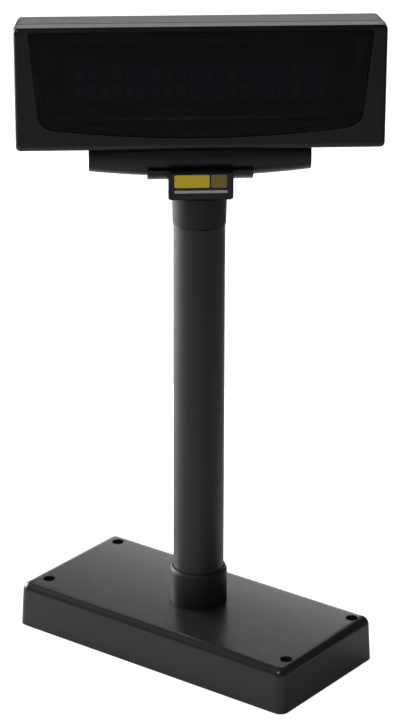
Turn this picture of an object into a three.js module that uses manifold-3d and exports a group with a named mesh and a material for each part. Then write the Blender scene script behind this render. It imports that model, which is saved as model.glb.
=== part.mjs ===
// Customer pole display: a two-line vacuum fluorescent display head that tilts on a
// neck, a neck that swivels on top of a round pole, and a weighted rectangular base.
//
// Units are millimetres, +Z is up. The origin is on the table under the pole's axis.
// The base's long side runs along X and its front faces -Y. The neck and the head are
// modelled facing -Y too, and are then turned together about the pole's axis.

import * as THREE from "three";
import { mergeVertices } from "three/addons/utils/BufferGeometryUtils.js";
import Module from "manifold-3d";

const wasm = await Module();
wasm.setup();

// ---------------------------------------------------------------- driving dimensions

const GAP = 0.3; // clearance between neighbouring pieces
const WALL = 2.5; // moulded wall thickness
const HEAD_YAW = 40; // degrees that the head is turned from the base

const BASE = { halfX: 107.2, halfY: 50.7, top: 30.8, bottom: 1, corner: 6, edge: 5.5, draft: 1.2 };
const BASE_MIDDLE = [-2, -2.2]; // the outline's centre, a little off the pole's axis
const REAR_WALL = BASE.halfY + BASE_MIDDLE[1];
const COUNTER_HOLE = { x: 95.7, y: 36.2, radius: 4, throat: 3.1, ledge: 5, post: 6.2 };
const PLATE = { halfX: 103.5, halfY: 47, bottom: 2, top: 3.8 };
const PLATE_SCREW = { x: 96.5, y: 20, shank: 1.4, head: 2.9, depth: 14 };
const FOOT = { x: 78, y: 38, radius: 6.5, top: 1.7 };
const BALLAST = { halfX: 88, halfY: 35, bottom: 4.1, top: 11.1 };
const BOARD_BAY = { x: [-84, -3], y: [-4, 44] };
const BOARD = { x: [-80, -24], y: [4, 44.6], bottom: 7.4, top: 9 };
const JACK_X = { data: [-66, -49], power: -36 };
const JACK_BACK = REAR_WALL - 1.4;

const POLE = { radius: 16.2, wall: 1.5, bottom: 20.5, top: 287.5 };
const COLLAR = { radius: 18.4, bore: 16.5, bottom: 17, floor: 3.2, top: 55, flange: 27 };
const COLLAR_SCREW = { ring: 22.5, shank: 1.4, head: 2.9 };
const LOCK_SCREW = { z: 45, shank: 2, head: 3.5 };

const COUPLING = { topRadius: 17.1, lowRadius: 16.7, top: 307.2, spigot: 14.4, foot: 262 };
const SHELF = { bottom: 292, top: 297, bore: 6.3 };
const STOP = { inner: 8.6, outer: 12.3, neckLug: 30, poleLug: 46 };
const STEM = { radius: 6, bore: 4, bottom: 283, flange: 8.5, seat: 313.6 };

const TILT_Z = 332.5; // height of the tilt axis
const NECK = { halfX: 19.85, halfY: 17.8, bottom: 307.5, plateInner: 15.4, plateTop: 325.5 };
const LABEL = { halfX: 18.9, bottom: 308.9, top: 325, thick: 0.6 };
const SADDLE = { halfX: 32.3, radius: 16.1, lip: 325.5 };
const EAR = { x: [17.5, 22.6], radius: 4.4, halfWidth: 3.2 };
const HINGE_PIN = { radius: 1.7, from: 16.6, to: 30 };

const TILT_RANGE = { back: 30, forward: 5 }; // degrees either side of upright

const HEAD = { halfX: 112, bottom: 338.6, top: 415.5, front: -16.5, back: 16.5, corner: 3 };
const CRADLE = { halfX: 67.9, endRadius: 10.6, midRadius: 14.4, wall: 2.2, top: HEAD.bottom - GAP };
const CRADLE_RIB = [24.2, 28];
const CRADLE_SCREW = { x: 50, y: 3, shank: 1.4, head: 2.8, tip: 331 };

const SEAM_Y = -5; // where the front bezel meets the rear housing
const FACE = 3.6; // thickness of the bezel's front wall
const WINDOW = { top: 74, topHalf: 103.5, lowHalf: 97, low: 15, dip: 3, thick: 2 };
const VFD = { halfX: 94, bottom: HEAD.bottom + 19.6, top: HEAD.bottom + 63.6, front: -9.4, back: -2.6 };
const DISPLAY_BOARD = { halfX: 103, bottom: HEAD.bottom + 9.5, top: HEAD.bottom + 69, front: -1.6, back: 0 };
const HOUSING_SCREW = { x: 104.6, dz: 6.5, shank: 1.35, head: 2.9, seat: 8 };
const BOARD_SCREW = { x: 98.6, z: HEAD.bottom + 39, shank: 1.2, head: 2.4 };

// ---------------------------------------------------------------- materials

const finish = (color, roughness, metalness = 0) =>
  new THREE.MeshStandardMaterial({ color, roughness, metalness });
const MATERIAL = {
  housing: finish(0x1d1d1f, 0.5),
  tube: finish(0x222224, 0.4),
  window: finish(0x07080a, 0.08),
  glass: finish(0x10201f, 0.1),
  board: finish(0x14502c, 0.5),
  chip: finish(0x141414, 0.45),
  steel: finish(0xb4b6b8, 0.3, 1),
  ballast: finish(0x54565a, 0.6, 1),
  rubber: finish(0x101010, 0.9),
  foam: finish(0x17171a, 0.95),
  cable: finish(0x1a1a1c, 0.55),
  label: finish(0x0e0e10, 0.35),
};

// ---------------------------------------------------------------- solids and shapes

// A closed three.js geometry as a manifold solid.
function solidOf(geometry) {
  const bare = geometry.clone();
  bare.deleteAttribute("normal");
  bare.deleteAttribute("uv");
  const merged = mergeVertices(bare, 1e-4);
  return new wasm.Manifold(
    new wasm.Mesh({
      numProp: 3,
      vertProperties: merged.attributes.position.array,
      triVerts: new Uint32Array(merged.index.array),
    }),
  );
}

// A manifold solid as a named three.js mesh.
function meshOf(name, solid, material) {
  const { vertProperties, triVerts } = solid.getMesh();
  const geometry = new THREE.BufferGeometry()
    .setAttribute("position", new THREE.BufferAttribute(vertProperties, 3))
    .setIndex(new THREE.BufferAttribute(triVerts, 1));
  geometry.computeVertexNormals();
  const mesh = new THREE.Mesh(geometry, material);
  mesh.name = name;
  return mesh;
}

const joined = (...solids) => solids.reduce((all, next) => all.add(next));
const cut = (solid, ...tools) => tools.reduce((left, tool) => left.subtract(tool), solid);

function block([x0, x1], [y0, y1], [z0, z1]) {
  const box = new THREE.BoxGeometry(x1 - x0, y1 - y0, z1 - z0);
  return solidOf(box.translate((x0 + x1) / 2, (y0 + y1) / 2, (z0 + z1) / 2));
}

// A rod or cone along an axis. The centre is given in the two other axes, in X, Y, Z order.
function rod(axis, radius, [from, to], [a, b] = [0, 0], sides = 24, endRadius = radius) {
  const geometry = new THREE.CylinderGeometry(endRadius, radius, to - from, sides);
  geometry.translate(0, (from + to) / 2, 0);
  if (axis === "x") return solidOf(geometry.rotateZ(-Math.PI / 2).translate(0, a, b));
  if (axis === "z") return solidOf(geometry.rotateX(Math.PI / 2).translate(a, b, 0));
  return solidOf(geometry.translate(a, 0, b));
}

const ring = (axis, outer, inner, [from, to], centre, sides) =>
  cut(
    rod(axis, outer, [from, to], centre, sides),
    rod(axis, inner, [from - 1, to + 1], centre, sides),
  );

function roundedRect(halfX, [y0, y1], radius) {
  const shape = new THREE.Shape();
  shape.absarc(halfX - radius, y0 + radius, radius, -Math.PI / 2, 0);
  shape.absarc(halfX - radius, y1 - radius, radius, 0, Math.PI / 2);
  shape.absarc(-halfX + radius, y1 - radius, radius, Math.PI / 2, Math.PI);
  shape.absarc(-halfX + radius, y0 + radius, radius, Math.PI, Math.PI * 1.5);
  return shape;
}

// An outline extruded upwards, with its top edge rounded.
function domed(shape, [z0, z1], edge, segments = 4) {
  const settings = { curveSegments: segments, depth: z1 - z0 - edge, bevelSegments: 3 };
  const bevel = { bevelThickness: edge, bevelSize: edge, bevelOffset: -edge };
  const geometry = new THREE.ExtrudeGeometry(shape, { ...settings, ...bevel });
  const reach = 1000;
  const above = block([-reach, reach], [-reach, reach], [z0, z1 + reach]);
  return solidOf(geometry.translate(0, 0, z0)).intersect(above);
}

// Draws a solid's sides in as it rises: not at all at z0, and by the inset at z1.
function drafted(solid, [z0, z1], [halfX, halfY], inset) {
  return solid.warp((v) => {
    const share = Math.max(0, (v[2] - z0) / (z1 - z0));
    v[0] *= 1 - (inset * share) / halfX;
    v[1] *= 1 - (inset * share) / halfY;
  });
}

// An outline drawn in X and Z, extruded along Y.
function slab(shape, [y0, y1], segments = 5) {
  const settings = { depth: y1 - y0, bevelEnabled: false, curveSegments: segments };
  const geometry = new THREE.ExtrudeGeometry(shape, settings);
  return solidOf(geometry.rotateX(Math.PI / 2).translate(0, y1, 0));
}

// A slab that is rounded around its edge at the first level and flat at the second.
function cushionSlab(shape, [rounded, flat], edge) {
  const standing = domed(shape, [0, Math.abs(flat - rounded)], edge);
  const towards = flat > rounded ? 1 : -1;
  return standing.warp((v) => {
    const [x, z, depth] = v;
    v[0] = x * towards;
    v[1] = flat - depth * towards;
    v[2] = z;
  });
}

// A pan-head screw. Its head's flat underside is at the level given, and its tip points
// along the axis in the direction given.
function screw(axis, centre, level, direction, { shank, head }, length, headHeight = 1.8) {
  const span = (from, to) => (from < to ? [from, to] : [to, from]);
  const overlap = 0.2;
  return joined(
    rod(axis, shank, span(level - direction * overlap, level + direction * length), centre, 12),
    rod(axis, head, span(level, level - direction * headHeight), centre, 16),
  );
}

const corners = (x, y = x) => [
  ["front_left", -x, -y],
  ["front_right", x, -y],
  ["rear_left", -x, y],
  ["rear_right", x, y],
];
const collarScrewSpots = corners(COLLAR_SCREW.ring / Math.SQRT2);

// A span along an axis, mirrored to the left side when side is -1.
const mirrored = ([from, to], side) => (side > 0 ? [from, to] : [-to, -from]);

// ---------------------------------------------------------------- base

function baseCover() {
  const { halfX, halfY, top, bottom, corner, edge, draft } = BASE;
  const outer = domed(roundedRect(halfX, [-halfY, halfY], corner), [bottom, top], edge);
  const room = domed(
    roundedRect(halfX - WALL, [-halfY + WALL, halfY - WALL], corner - WALL),
    [bottom - WALL, top - WALL],
    edge - WALL,
    2,
  );
  const half = [halfX, halfY];
  let cover = cut(
    drafted(outer, [bottom, top], half, draft),
    drafted(room, [bottom, top], half, draft),
  ).translate(...BASE_MIDDLE, 0);
  for (const [, x, y] of corners(COUNTER_HOLE.x, COUNTER_HOLE.y))
    cover = cover.add(rod("z", COUNTER_HOLE.post, [bottom, top - WALL + 0.5], [x, y], 20));
  for (const [, x, y] of corners(PLATE_SCREW.x, PLATE_SCREW.y))
    cover = cover.add(rod("z", 3.6, [PLATE.top + GAP, top - WALL + 0.5], [x, y], 12));
  for (const [, x, y] of collarScrewSpots)
    cover = cover.add(rod("z", 3.4, [COLLAR.bottom + COLLAR.floor + GAP, top - WALL + 0.5], [x, y], 12));
  return cut(
    cover,
    ...corners(COUNTER_HOLE.x, COUNTER_HOLE.y).map(([, x, y]) =>
      rod("z", COUNTER_HOLE.radius, [COUNTER_HOLE.ledge, top + 1], [x, y], 20),
    ),
    ...corners(COUNTER_HOLE.x, COUNTER_HOLE.y).map(([, x, y]) =>
      rod("z", COUNTER_HOLE.throat, [bottom - 1, top], [x, y], 20),
    ),
    ...corners(PLATE_SCREW.x, PLATE_SCREW.y).map(([, x, y]) =>
      rod("z", PLATE_SCREW.shank + GAP, [bottom, 20], [x, y], 12),
    ),
    ...collarScrewSpots.map(([, x, y]) =>
      rod("z", COLLAR_SCREW.shank + GAP, [bottom, 27], [x, y], 12),
    ),
    rod("z", COLLAR.radius + GAP, [bottom, top + 1], [0, 0], 40),
    block(JACK_X.data, [REAR_WALL - 6, REAR_WALL + 1], [BOARD.top, 23]),
    rod("y", 4.6, [REAR_WALL - 6, REAR_WALL + 1], [JACK_X.power, 15.5], 16),
  );
}

function basePlate() {
  const outline = roundedRect(PLATE.halfX, [-PLATE.halfY, PLATE.halfY], 4);
  const settings = { depth: PLATE.top - PLATE.bottom, bevelEnabled: false, curveSegments: 3 };
  let plate = solidOf(
    new THREE.ExtrudeGeometry(outline, settings).translate(...BASE_MIDDLE, PLATE.bottom),
  );
  for (const x of [BOARD.x[0] + 4, BOARD.x[1] - 4])
    for (const y of [BOARD.y[0] + 4, BOARD.y[1] - 6])
      plate = plate.add(rod("z", 2.6, [PLATE.top - 0.2, BOARD.bottom - GAP], [x, y], 12));
  return cut(
    plate,
    ...corners(COUNTER_HOLE.x, COUNTER_HOLE.y).map(([, x, y]) =>
      rod("z", COUNTER_HOLE.post + GAP, [0, 9], [x, y], 20),
    ),
    ...corners(PLATE_SCREW.x, PLATE_SCREW.y).map(([, x, y]) =>
      rod("z", PLATE_SCREW.shank + GAP, [0, 9], [x, y], 12),
    ),
  );
}

function ballastWeight() {
  const { halfX, halfY, bottom, top } = BALLAST;
  return cut(
    block([-halfX, halfX], [-halfY, halfY], [bottom, top]),
    block(BOARD_BAY.x, BOARD_BAY.y, [bottom - 1, top + 1]),
    ...corners(COUNTER_HOLE.x, COUNTER_HOLE.y).map(([, x, y]) =>
      rod("z", COUNTER_HOLE.post + 0.8, [bottom - 1, top + 1], [x, y], 16),
    ),
  );
}

// The sockets stand on the interface board and look out through the base's rear wall.
function dataJack() {
  const [x0, x1] = [JACK_X.data[0] + 0.6, JACK_X.data[1] - 0.6];
  const mid = (x0 + x1) / 2;
  return cut(
    block([x0, x1], [JACK_BACK - 16, JACK_BACK], [BOARD.top + GAP, 22.4]),
    block([mid - 5.9, mid + 5.9], [JACK_BACK - 12, JACK_BACK + 1], [11.6, 18.4]),
    block([mid - 3, mid + 3], [JACK_BACK - 12, JACK_BACK + 1], [18.2, 20.6]),
  );
}

function powerJack() {
  const x = JACK_X.power;
  return joined(
    cut(
      joined(
        block([x - 4.6, x + 4.6], [JACK_BACK - 14, JACK_BACK - 2.6], [BOARD.top + GAP, 20]),
        rod("y", 4.2, [JACK_BACK - 3, JACK_BACK], [x, 15.5], 16),
      ),
      rod("y", 3.1, [JACK_BACK - 10, JACK_BACK + 1], [x, 15.5], 16),
    ),
    rod("y", 1, [JACK_BACK - 11, JACK_BACK - 5.5], [x, 15.5], 8),
  );
}

function addBase(group) {
  const place = (name, solid, material) => group.add(meshOf(name, solid, material));
  place("base_cover", baseCover(), MATERIAL.housing);
  place("base_plate", basePlate(), MATERIAL.steel);
  place("ballast_weight", ballastWeight(), MATERIAL.ballast);
  for (const [where, x, y] of corners(FOOT.x, FOOT.y)) {
    const foot = rod("z", FOOT.radius - 0.8, [0, FOOT.top], [x, y], 20, FOOT.radius);
    place("foot_" + where, foot, MATERIAL.rubber);
  }
  for (const [where, x, y] of corners(PLATE_SCREW.x, PLATE_SCREW.y))
    place(
      "plate_screw_" + where,
      screw("z", [x, y], PLATE.bottom - GAP, 1, PLATE_SCREW, PLATE_SCREW.depth, 1.1),
      MATERIAL.steel,
    );
  place("interface_board", block(BOARD.x, BOARD.y, [BOARD.bottom, BOARD.top]), MATERIAL.board);
  place("data_jack", dataJack(), MATERIAL.chip);
  place("power_jack", powerJack(), MATERIAL.chip);
  place("interface_chip", block([-66, -54], [14, 24], [BOARD.top + GAP, 11.4]), MATERIAL.chip);
  place("base_header", block([-37, -28], [8, 18], [BOARD.top + GAP, 17]), MATERIAL.chip);
}

// ---------------------------------------------------------------- pole

function poleCollar() {
  const { radius, bore, bottom, floor, top, flange } = COLLAR;
  const edge = 1;
  const body = joined(
    rod("z", radius, [bottom, top - edge], [0, 0], 40),
    rod("z", radius, [top - edge, top], [0, 0], 40, radius - edge),
    rod("z", flange, [bottom, bottom + floor], [0, 0], 32),
  );
  return cut(
    body,
    rod("z", bore, [bottom + floor, top + 1], [0, 0], 40),
    rod("z", 9, [bottom - 1, top], [0, 0], 16),
    ...collarScrewSpots.map(([, x, y]) =>
      rod("z", COLLAR_SCREW.shank + GAP, [bottom - 1, bottom + floor + 1], [x, y], 12),
    ),
    rod("y", LOCK_SCREW.shank + GAP, [10, radius + 1], [0, LOCK_SCREW.z], 12),
  );
}

// A wedge of a ring about Z, centred on the bearing given, as a stop lug.
function lug([inner, outer], [z0, z1], bearing, width) {
  const half = (width * Math.PI) / 360;
  const middle = (bearing * Math.PI) / 180;
  const shape = new THREE.Shape();
  shape.absarc(0, 0, outer, middle - half, middle + half);
  shape.absarc(0, 0, inner, middle + half, middle - half, true);
  const settings = { depth: z1 - z0, bevelEnabled: false, curveSegments: 5 };
  return solidOf(new THREE.ExtrudeGeometry(shape, settings).translate(0, 0, z0));
}

// The coupling plugs into the pole, carries the neck and holds the swivel's fixed stop.
function poleCoupling() {
  const { topRadius, lowRadius, top, spigot, foot } = COUPLING;
  const outside = joined(
    rod("z", lowRadius, [POLE.top + GAP, top], [0, 0], 40, topRadius),
    rod("z", spigot, [foot, POLE.top + 1], [0, 0], 32),
  );
  const well = rod("z", 12.6, [SHELF.top, top + 1], [0, 0], 32);
  const chamber = rod("z", 11.6, [foot - 1, SHELF.bottom], [0, 0], 32);
  const bore = rod("z", SHELF.bore, [SHELF.bottom - 1, SHELF.top + 1], [0, 0], 24);
  return joined(
    cut(outside, well, chamber, bore),
    lug([STOP.inner, 12.8], [SHELF.top - 0.2, top - 1.4], 90, STOP.poleLug),
  );
}

function harness() {
  const route = new THREE.CatmullRomCurve3([
    new THREE.Vector3(-27.2, 13, 12.6),
    new THREE.Vector3(-20, 11, 12.6),
    new THREE.Vector3(-9, 4.4, 12.8),
    new THREE.Vector3(-2, 0.8, 16),
    new THREE.Vector3(0, 0, 24),
    new THREE.Vector3(0, 0, 32),
  ]);
  const section = new THREE.Shape().absarc(0, 0, 2.5, 0, Math.PI * 2);
  const bend = new THREE.ExtrudeGeometry(section, {
    steps: 14,
    curveSegments: 8,
    extrudePath: route,
  });
  return joined(solidOf(bend), rod("z", 2.5, [31, TILT_Z - 1.9], [0, 0], 8));
}

function addPole(group) {
  const place = (name, solid, material) => group.add(meshOf(name, solid, material));
  const { radius, wall, bottom, top } = POLE;
  place("pole_collar", poleCollar(), MATERIAL.housing);
  place("pole_tube", ring("z", radius, radius - wall, [bottom, top], [0, 0], 40), MATERIAL.tube);
  for (const [where, x, y] of collarScrewSpots)
    place(
      "collar_screw_" + where,
      screw("z", [x, y], COLLAR.bottom - GAP, 1, COLLAR_SCREW, 9, 1.8),
      MATERIAL.steel,
    );
  place(
    "pole_lock_screw",
    screw("y", [0, LOCK_SCREW.z], COLLAR.radius + GAP, -1, LOCK_SCREW, 2.1, 2),
    MATERIAL.steel,
  );
  place("pole_coupling", poleCoupling(), MATERIAL.housing);
  place("pole_harness", harness(), MATERIAL.cable);
}

// ---------------------------------------------------------------- neck

// The cradle's outside is a barrel about the tilt axis; this is its radius at a distance
// along the axis from the middle.
const barrelRadius = (x) =>
  CRADLE.endRadius + (CRADLE.midRadius - CRADLE.endRadius) * (1 - (x / CRADLE.halfX) ** 2);

// A solid barrel about the tilt axis, grown or shrunk by the margin.
function barrel(halfX, margin, stations, sides = 32) {
  const profile = [new THREE.Vector2(0, -halfX)];
  for (let i = 0; i <= stations; i++) {
    const x = -halfX + (2 * halfX * i) / stations;
    profile.push(new THREE.Vector2(barrelRadius(x) + margin, x));
  }
  profile.push(new THREE.Vector2(0, halfX));
  const turned = new THREE.LatheGeometry(profile, sides);
  return solidOf(turned.rotateZ(-Math.PI / 2).translate(0, 0, TILT_Z));
}

// A sector about the tilt axis, wide enough for both ears. Angles run from +Y towards +Z.
function wedge(from, to) {
  const halfX = EAR.x[1] + 0.8;
  const shape = new THREE.Shape();
  shape.absarc(0, 0, 24, (from * Math.PI) / 180, (to * Math.PI) / 180);
  shape.lineTo(0, 0);
  const settings = { depth: 2 * halfX, bevelEnabled: false, curveSegments: 4 };
  const geometry = new THREE.ExtrudeGeometry(shape, settings).translate(0, 0, -halfX);
  return solidOf(geometry.rotateY(Math.PI / 2).rotateX(Math.PI / 2).translate(0, 0, TILT_Z));
}

function neckBlock() {
  const { halfX, halfY, bottom, plateInner, plateTop } = NECK;
  const foot = 1;
  const middle = TILT_Z - 12;
  const lower = joined(
    block([-halfX, halfX], [-halfY, halfY], [bottom + foot, middle]),
    block([-halfX + foot, halfX - foot], [-halfY + foot, halfY - foot], [bottom, middle]),
  );
  const faceplate = block([-halfX, halfX], [-halfY, -plateInner], [bottom + foot, plateTop]);
  const saddle = rod("x", SADDLE.radius, [-SADDLE.halfX, SADDLE.halfX], [0, TILT_Z], 40).intersect(
    block([-40, 40], [-30, 30], [300, SADDLE.lip]),
  );
  const trough = barrel(SADDLE.halfX + 2, 0.5, 8);
  const shell = cut(joined(lower, saddle), trough);
  const ears = [-1, 1].map((side) => {
    const span = mirrored(EAR.x, side);
    return joined(
      rod("x", EAR.radius, span, [0, TILT_Z], 20),
      block(span, [-EAR.halfWidth, EAR.halfWidth], [TILT_Z - SADDLE.radius + 1, TILT_Z]),
    );
  });
  const boss = joined(
    rod("z", 8, [SHELF.top + GAP, bottom + 1], [0, 0], 24),
    lug([7, STOP.outer], [SHELF.top + GAP, COUPLING.top - 1.5], -90, STOP.neckLug),
  );
  return cut(
    joined(shell, faceplate, ...ears, boss),
    rod("x", HINGE_PIN.radius + GAP, [-40, 40], [0, TILT_Z], 16),
    rod("z", STEM.radius + GAP, [SHELF.top - 1, STEM.seat + 1], [0, 0], 24),
    rod("z", STEM.flange + GAP, [STEM.seat, TILT_Z], [0, 0], 24),
  );
}

function addNeck(group) {
  const place = (name, solid, material) => group.add(meshOf(name, solid, material));
  place("neck_block", neckBlock(), MATERIAL.housing);
  const labelBack = -NECK.halfY - GAP;
  place(
    "neck_label",
    block([-LABEL.halfX, LABEL.halfX], [labelBack - LABEL.thick, labelBack], [LABEL.bottom, LABEL.top]),
    MATERIAL.label,
  );
  place(
    "swivel_stem",
    cut(
      joined(
        rod("z", STEM.radius, [STEM.bottom, STEM.seat + GAP + 1], [0, 0], 24),
        rod("z", STEM.flange, [STEM.seat + GAP, STEM.seat + 2], [0, 0], 24),
      ),
      rod("z", STEM.bore, [STEM.bottom - 1, STEM.seat + 3], [0, 0], 16),
    ),
    MATERIAL.steel,
  );
  place(
    "swivel_washer",
    ring("z", 10.8, STEM.radius + GAP, [SHELF.bottom - 1.1, SHELF.bottom - GAP], [0, 0], 24),
    MATERIAL.steel,
  );
  place(
    "swivel_nut",
    cut(
      rod("z", 10.6, [SHELF.bottom - 6.4, SHELF.bottom - 1.4], [0, 0], 6),
      rod("z", STEM.radius + GAP, [SHELF.bottom - 8, SHELF.bottom], [0, 0], 24),
    ),
    MATERIAL.steel,
  );
  for (const [where, side] of [["left", -1], ["right", 1]]) {
    const pinSpan = mirrored([HINGE_PIN.from, HINGE_PIN.to], side);
    const washerSpan = mirrored([EAR.x[1] + GAP, CRADLE_RIB[0] - GAP], side);
    const clipSpan = mirrored([CRADLE_RIB[1] + GAP, CRADLE_RIB[1] + 1.2], side);
    const axis = [0, TILT_Z];
    const bore = HINGE_PIN.radius + GAP;
    place("hinge_pin_" + where, rod("x", HINGE_PIN.radius, pinSpan, axis, 16), MATERIAL.steel);
    place("friction_washer_" + where, ring("x", 4.4, bore, washerSpan, axis, 16), MATERIAL.steel);
    place("hinge_clip_" + where, ring("x", 3.6, bore, clipSpan, axis, 16), MATERIAL.steel);
  }
}

// ---------------------------------------------------------------- head

const cradleScrewSpots = [
  ["left", [-CRADLE_SCREW.x, CRADLE_SCREW.y]],
  ["right", [CRADLE_SCREW.x, CRADLE_SCREW.y]],
];
const boardScrewSpots = [
  ["left", [-BOARD_SCREW.x, BOARD_SCREW.z]],
  ["right", [BOARD_SCREW.x, BOARD_SCREW.z]],
];

function tiltCradle() {
  const { halfX, wall, top } = CRADLE;
  const below = block([-halfX - 1, halfX + 1], [-20, 20], [300, top]);
  const inside = cut(
    barrel(halfX - wall, -wall, 10),
    ...[-1, 1].map((side) => block(mirrored(CRADLE_RIB, side), [-20, 20], [300, 360])),
    ...cradleScrewSpots.map(([, spot]) => rod("z", 3.2, [300, 360], spot, 12)),
  );
  const earSweep = 17; // half of the angle that an ear takes up in the cradle's wall
  const passage = wedge(-90 - earSweep - TILT_RANGE.forward, -90 + earSweep + TILT_RANGE.back);
  return cut(
    barrel(halfX, 0, 14).intersect(below),
    inside,
    passage,
    rod("x", HINGE_PIN.radius + GAP, [-40, 40], [0, TILT_Z], 16),
    ...cradleScrewSpots.map(([, spot]) =>
      rod("z", CRADLE_SCREW.shank + GAP, [CRADLE_SCREW.tip - 0.5, top + 1], spot, 12),
    ),
  );
}

// The display window's outline, drawn in X and height above the head's underside.
// Its sides lean inwards going down, and its lower edge is a shallow curve.
function windowOutline(inset) {
  const top = HEAD.bottom + WINDOW.top - inset;
  const low = HEAD.bottom + WINDOW.low + inset;
  const dip = HEAD.bottom + WINDOW.dip + inset;
  const wide = WINDOW.topHalf - inset;
  const narrow = WINDOW.lowHalf - inset;
  const upper = 3; // size of the upper corners
  const lower = 9; // size of the lower corners
  const lean = (wide - narrow) / (top - low);
  const endZ = low - ((low - dip) * lower) / narrow;
  const shape = new THREE.Shape();
  shape.moveTo(-wide + upper, top);
  shape.quadraticCurveTo(-wide, top, -wide + upper * lean, top - upper);
  shape.lineTo(-narrow - lower * lean, low + lower);
  shape.quadraticCurveTo(-narrow, low, -narrow + lower, endZ);
  shape.quadraticCurveTo(0, dip, narrow - lower, endZ);
  shape.quadraticCurveTo(narrow, low, narrow + lower * lean, low + lower);
  shape.lineTo(wide - upper * lean, top - upper);
  shape.quadraticCurveTo(wide, top, wide - upper, top);
  return shape;
}

function headOutline(inset) {
  const heights = [HEAD.bottom + inset, HEAD.top - inset];
  return roundedRect(HEAD.halfX - inset, heights, Math.max(HEAD.corner - inset, 0.8));
}

const housingScrewSpots = corners(HOUSING_SCREW.x, 0).map(([where, x]) => [
  where.replace("front", "lower").replace("rear", "upper"),
  x,
  where.startsWith("front") ? HEAD.bottom + HOUSING_SCREW.dz : HEAD.top - HOUSING_SCREW.dz,
]);

function frontBezel() {
  const inner = HEAD.front + FACE;
  const shell = cut(
    cushionSlab(headOutline(0), [HEAD.front, SEAM_Y], 2.5),
    slab(headOutline(WALL), [inner, SEAM_Y + 1], 3),
  );
  const bosses = [
    ...housingScrewSpots.map(([, x, z]) => rod("y", 3.2, [inner - 0.2, SEAM_Y], [x, z], 12)),
    ...boardScrewSpots.map(([, spot]) =>
      rod("y", 3.2, [inner - 0.2, DISPLAY_BOARD.front - GAP], spot, 12),
    ),
  ];
  return cut(
    joined(shell, ...bosses),
    slab(windowOutline(-GAP), [HEAD.front - 1, HEAD.front + WINDOW.thick + 0.4]),
    slab(windowOutline(5), [HEAD.front, inner + 1]),
    ...housingScrewSpots.map(([, x, z]) =>
      rod("y", HOUSING_SCREW.shank + GAP, [inner + 0.8, SEAM_Y + 1], [x, z], 12),
    ),
    ...boardScrewSpots.map(([, spot]) => rod("y", BOARD_SCREW.shank + GAP, [inner + 0.8, 1], spot, 12)),
  );
}

function rearHousing() {
  const taper = 2.2;
  const draft = (solid, halfX) =>
    solid.warp((v) => {
      const share = Math.max(0, (v[1] - SEAM_Y) / (HEAD.back - SEAM_Y));
      const middle = (HEAD.top + HEAD.bottom) / 2;
      const halfZ = (HEAD.top - HEAD.bottom) / 2;
      v[0] *= 1 - (taper * share) / halfX;
      v[2] = middle + (v[2] - middle) * (1 - (0.5 * share) / halfZ);
    });
  const start = SEAM_Y + GAP;
  const outer = draft(cushionSlab(headOutline(0), [HEAD.back, start], 2.6), HEAD.halfX);
  const room = draft(slab(headOutline(WALL), [start - 1, HEAD.back - WALL], 3), HEAD.halfX);
  const posts = housingScrewSpots.map(([, x, z]) =>
    rod("y", 4.6, [start, HEAD.back - 1], [x - Math.sign(x) * 0.4, z], 16),
  );
  const vents = [-1, 1].flatMap((side) =>
    [0, 1, 2, 3, 4].map((row) =>
      block(
        [44 * side - 17, 44 * side + 17],
        [HEAD.back - 5, HEAD.back + 1],
        [HEAD.bottom + 27 + row * 6, HEAD.bottom + 29.6 + row * 6],
      ),
    ),
  );
  return cut(
    joined(cut(outer, room), ...posts.map((post) => post.intersect(outer))),
    ...housingScrewSpots.map(([, x, z]) => rod("y", HOUSING_SCREW.shank + GAP, [-9, 30], [x, z], 12)),
    ...housingScrewSpots.map(([, x, z]) =>
      rod("y", HOUSING_SCREW.head + GAP, [HOUSING_SCREW.seat, 30], [x, z], 16),
    ),
    ...vents,
    rod("z", 4.2, [HEAD.bottom - 1, HEAD.bottom + 5], [0, 1.5], 16),
    ...cradleScrewSpots.map(([, spot]) =>
      rod("z", CRADLE_SCREW.shank + GAP, [HEAD.bottom - 1, HEAD.bottom + 5], spot, 12),
    ),
  );
}

function displayBoard() {
  const { halfX, bottom, top, front, back } = DISPLAY_BOARD;
  return cut(
    block([-halfX, halfX], [front, back], [bottom, top]),
    ...boardScrewSpots.map(([, spot]) =>
      rod("y", BOARD_SCREW.shank + GAP, [front - 1, back + 1], spot, 12),
    ),
    ...housingScrewSpots.map(([, x, z]) => rod("y", 5.4, [front - 1, back + 1], [x, z], 12)),
  );
}

// The comb of leads under the display tube: a strip with evenly spaced legs.
function leadFrame() {
  const legs = 36;
  const pitch = 4.8;
  const strip = block([-87, 87], [-6.6, -5.8], [VFD.bottom - 2.6, VFD.bottom - GAP]);
  const legHeights = [VFD.bottom - 3.4, VFD.bottom - 2.4];
  const leg = (i) => {
    const x = (i - (legs - 1) / 2) * pitch;
    return block([x - 0.5, x + 0.5], [-6.6, DISPLAY_BOARD.front - GAP], legHeights);
  };
  return joined(strip, ...Array.from({ length: legs }, (_, i) => leg(i)));
}

function foamFrame() {
  const [front, back] = [HEAD.front + FACE + GAP, VFD.front - GAP];
  return cut(
    block([-92, 92], [front, back], [VFD.bottom + 1, VFD.top - 1]),
    block([-84, 84], [front - 1, back + 1], [VFD.bottom + 8, VFD.top - 8]),
  );
}

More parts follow.
